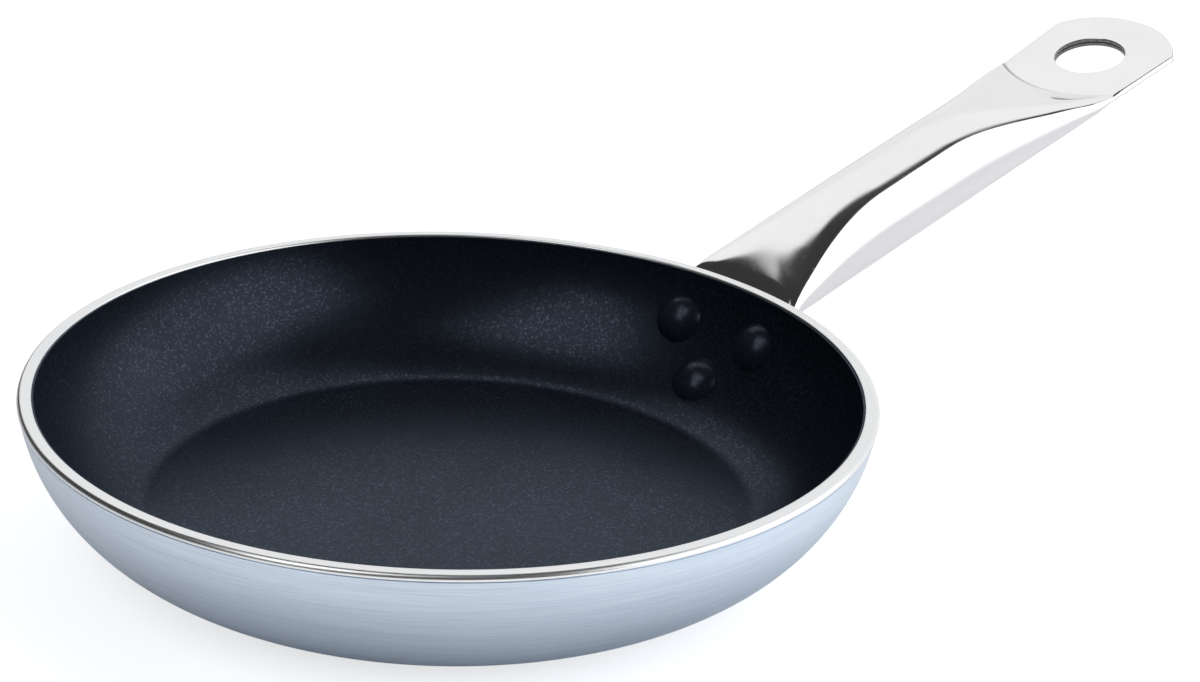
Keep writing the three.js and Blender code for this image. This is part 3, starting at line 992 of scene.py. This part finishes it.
class FRYINGPAN_OT_rivets(bpy.types.Operator):
    """Set the three rivets, with coated heads inside and bare formed ends behind the handle"""

    bl_idname = "frying_pan.make_rivets"
    bl_label = "Make Rivets"

    def execute(self, context):
        scene = context.scene
        rivets = scene.frying_pan_rivets
        colours = scene.frying_pan_colours
        at = handle_layout(scene.frying_pan_sizes, scene.frying_pan_handle, rivets)
        across = at.wall.centre.x + at.wall.inside * cos(at.upper_drop)
        turn = asin(rivets.spacing / 2 / across)
        coated = nonstick(colours, "coated_rivet", roughness=0.27, flecks=0.7, metallic=0.4)
        finishes = [coated, bare_tail(colours)]
        self.set_rivet(at, rivets, "rivet_upper_left", at.upper_drop, turn, finishes)
        self.set_rivet(at, rivets, "rivet_upper_right", at.upper_drop, -turn, finishes)
        self.set_rivet(at, rivets, "rivet_lower", at.lower_drop, 0, finishes)
        return {"FINISHED"}

    def set_rivet(self, at, rivets, node, drop, turned, finishes):
        grip = at.pan.wall_thickness + at.handle.wall_clearance + 2 * at.flat
        dome = (rivets.head_radius**2 + rivets.head_height**2) / (2 * rivets.head_height)
        dome_turn = acos((dome - rivets.head_height) / dome)
        foot = -grip - rivets.tail_height
        line = Profile(0, rivets.head_height)
        line.arc(Vector((0, rivets.head_height - dome)), -dome_turn, DOME_STEPS)
        line.to(rivets.head_radius, -HEAD_SINK)
        line.to(rivets.shank_radius, -HEAD_SINK)
        line.to(rivets.shank_radius, TAIL_SINK - grip)
        line.to(rivets.tail_radius, TAIL_SINK - grip)
        line.to(rivets.tail_radius, foot + rivets.tail_rounding)
        edge = Vector((rivets.tail_radius - rivets.tail_rounding, foot + rivets.tail_rounding))
        line.arc(edge, -pi / 2, TAIL_STEPS)
        line.to(TAIL_MARK_RADIUS, foot)
        line.to(0, foot + TAIL_MARK_DEPTH)
        bm = line.turn(rivets.turning_steps)
        for face in bm.faces:
            face.material_index = 0 if face.calc_center_median().z > -COATED_DEPTH else 1
        shade(bm, SHARP_ANGLE)
        wall = at.wall
        on_wall = wall.centre + ahead_of(-drop) * wall.inside
        stand = Matrix.Rotation(turned, 4, "Z") @ Matrix.Translation((on_wall.x, 0, on_wall.y))
        stand = stand @ Matrix.Rotation(drop - pi / 2, 4, "Y")
        bmesh.ops.transform(bm, matrix=stand, verts=bm.verts)
        add_piece(bm, f"{node}_set", finishes, node)


# Stage

FLOOR_RADIUS = 6
FLOOR_SIDES = 64
SENSOR_WIDTH = 36
NEAREST_SEEN = 0.01
LOWEST_LEVEL = 0.02


def camera_frame(studio):
    """The camera's right, up and forward before its roll, and the level way ahead."""
    azimuth, elevation = studio.handle_azimuth, studio.elevation
    right = Vector((cos(azimuth), -sin(azimuth), 0))
    ahead = Vector((sin(azimuth), cos(azimuth), 0))
    upright = Vector((0, 0, 1))
    forward = ahead * cos(elevation) - upright * sin(elevation)
    up = ahead * sin(elevation) + upright * cos(elevation)
    return right, up, forward, ahead


def floor_finish(studio):
    """A plain pale floor that keeps the shadow and is white in the open; in the metal it shows painted
    light.
    """
    finish = bpy.data.materials.new("studio_floor")
    floor = Wiring(finish)
    floor.tree.nodes.clear()
    right, _, _, ahead = camera_frame(studio)
    place = floor.add("TexCoord").outputs["Object"]
    far = floor.vector("LENGTH", place)
    rightward, backward = [floor.vector("DOT_PRODUCT", place, side) for side in (right, ahead)]
    # Painted light seen only in the metal: the floor glows more to the right and the front and less far
    # to the left and toward the back.
    # The glow is gone near the pan, which darkens the floor reflected there as painted shade.
    painted_floor_light = floor.times(
        floor.soft_edge(far, 0.106, 0.06),
        floor.remap(rightward, -0.1, 0.2, 0.74, 0.92),
        floor.remap(rightward, -0.25, -0.08, 0.2, 1),
        floor.remap(backward, -0.05, 0.1, 1, 0.54),
    )
    # Painted light: the far floor to the right also glows in the metal.
    painted_far_right_light = floor.times(floor.soft_edge(far, 0.33, 0.38), floor.soft_edge(rightward, 0.2, 0.2))
    rays = floor.add("LightPath").outputs
    in_metal = floor.times(rays["Is Glossy Ray"], floor.largest(painted_floor_light, painted_far_right_light))
    seen = floor.largest(rays["Is Camera Ray"], rays["Is Transmission Ray"], in_metal)
    spread = floor.add("BsdfDiffuse", {"Color": studio.floor})
    lift = floor.add("Emission", {"Strength": floor.times(seen, studio.floor_lift)})
    above = floor.add("AddShader", {0: spread.outputs[0], 1: lift.outputs[0]})
    below = floor.add("BsdfTransparent")
    from_below = floor.add("NewGeometry").outputs["Backfacing"]
    faced = floor.add("MixShader", {0: from_below, 1: above.outputs[0], 2: below.outputs[0]})
    floor.add("OutputMaterial", {"Surface": faced.outputs[0]})
    return finish


def light_world(studio):
    """Soft boxes at the left and right and a pale backdrop, edged by lines on a level ceiling."""
    world = bpy.data.worlds.new("studio")
    sky = Wiring(world)
    sky.tree.nodes.clear()
    right, _, _, ahead = camera_frame(studio)
    way = sky.add("TexCoord").outputs["Generated"]
    to_top = sky.vector("DOT_PRODUCT", way, (0, 0, 1))
    level = sky.largest(to_top, LOWEST_LEVEL)
    across = [sky.vector("DOT_PRODUCT", way, side) for side in (right, ahead)]
    over_right, over_back = [sky.calculate("DIVIDE", part, level) for part in across]

    def slanted(part_right, part_back):
        return sky.plus(sky.times(over_right, part_right), sky.times(over_back, part_back))

    def past(part_right, part_back, place, softness):
        return sky.soft_edge(slanted(part_right, part_back), place, softness)

    foot = sky.times(past(0.46, 1, 0.287, 0.06), past(0.14, 1, 0.287, 0.06))
    corner = past(-0.436, 1, 0.766, 0.04)
    in_front = sky.calculate("SUBTRACT", 1, sky.soft_edge(over_back, 1.2, 0.6))
    seam = sky.times(in_front, sky.between(over_right, 0.70, 0.85, 0.1))
    backdrop = sky.times(
        sky.largest(foot, corner),
        past(1, 0.374, -0.524, 0.07),
        sky.remap(over_back, 1.15, 2.2, 1, 0.92),
        sky.remap(seam, 0, 1, 1, 0.5),
        studio.back_light,
    )
    right_box = sky.times(
        sky.soft_edge(over_right, 0.847, 0.05),
        past(0.9, 1, -0.35, 0.4),
        past(1, -1.6, -0.1, 0.5),
        studio.right_light,
    )
    left_box = sky.times(
        sky.between(slanted(0.743, -0.669), -0.35, 0.35, 0.2),
        sky.between(slanted(-0.669, -0.743), 0.36, 2.2, 0.25),
        studio.left_light,
    )
    under_floor = sky.remap(to_top, -0.06, -0.03, 0.55, 0)
    camera_ray = sky.add("LightPath").outputs["Is Camera Ray"]
    strength = sky.largest(backdrop, studio.gap_light, right_box, left_box, under_floor, camera_ray)
    background = sky.add("Background", {"Strength": strength, "Color": (1, 1, 1)})
    sky.add("OutputWorld", {"Surface": background.outputs[0]})
    bpy.context.scene.world = world


class FRYINGPAN_OT_stage(bpy.types.Operator):
    """Set the pale floor, the soft light and the camera"""

    bl_idname = "frying_pan.make_stage"
    bl_label = "Make Stage"

    def execute(self, context):
        scene = context.scene
        studio = scene.frying_pan_studio
        bm = bmesh.new()
        bmesh.ops.create_circle(bm, cap_ends=True, segments=FLOOR_SIDES, radius=FLOOR_RADIUS)
        floor = add_object(bm, "studio_floor", [floor_finish(studio)])
        light_world(studio)
        self.set_camera(scene, studio, scene.frying_pan_sizes.height)
        scene.view_settings.view_transform = "Standard"
        return {"FINISHED"}

    def set_camera(self, scene, studio, rim_height):
        right, up, forward, _ = camera_frame(studio)
        lens = bpy.data.cameras.new("studio_camera")
        lens.sensor_width = SENSOR_WIDTH
        lens.lens = studio.lens
        lens.clip_start = NEAREST_SEEN
        camera = bpy.data.objects.new("studio_camera", lens)
        rolled_right = right * cos(studio.roll) + up * sin(studio.roll)
        rolled_up = up * cos(studio.roll) - right * sin(studio.roll)
        spot = Vector((0, 0, rim_height)) - right * studio.across - up * studio.aloft
        spot = spot - forward * studio.distance
        turned = Matrix((rolled_right, rolled_up, -forward)).transposed().to_4x4()
        camera.matrix_world = Matrix.Translation(spot) @ turned
        scene.collection.objects.link(camera)
        scene.camera = camera


class FRYINGPAN_PT_maker(bpy.types.Panel):
    """Steps of the frying pan, in order"""

    bl_idname = "FRYINGPAN_PT_maker"
    bl_label = "Frying Pan"
    bl_space_type = "VIEW_3D"
    bl_region_type = "UI"
    bl_category = "Frying Pan"

    def draw(self, context):
        for maker in MAKERS:
            self.layout.operator(maker.bl_idname)


SETTINGS = {
    "frying_pan_sizes": PanSizes,
    "frying_pan_handle": HandleSizes,
    "frying_pan_rivets": RivetSizes,
    "frying_pan_colours": FinishColours,
    "frying_pan_studio": StudioSettings,
}
MAKERS = (
    FRYINGPAN_OT_pan,
    FRYINGPAN_OT_coating,
    FRYINGPAN_OT_handle,
    FRYINGPAN_OT_rivets,
    FRYINGPAN_OT_stage,
)


def register():
    for name, group in SETTINGS.items():
        bpy.utils.register_class(group)
        setattr(bpy.types.Scene, name, PointerProperty(type=group))
    for maker in (*MAKERS, FRYINGPAN_PT_maker):
        bpy.utils.register_class(maker)


def unregister():
    for maker in (FRYINGPAN_PT_maker, *reversed(MAKERS)):
        bpy.utils.unregister_class(maker)
    for name, group in SETTINGS.items():
        delattr(bpy.types.Scene, name)
        bpy.utils.unregister_class(group)


def main():
    register()
    bpy.ops.frying_pan.make_pan()
    bpy.ops.frying_pan.make_coating()
    bpy.ops.frying_pan.make_handle()
    bpy.ops.frying_pan.make_rivets()
    bpy.ops.frying_pan.make_stage()


if __name__ == "__main__":
    main()
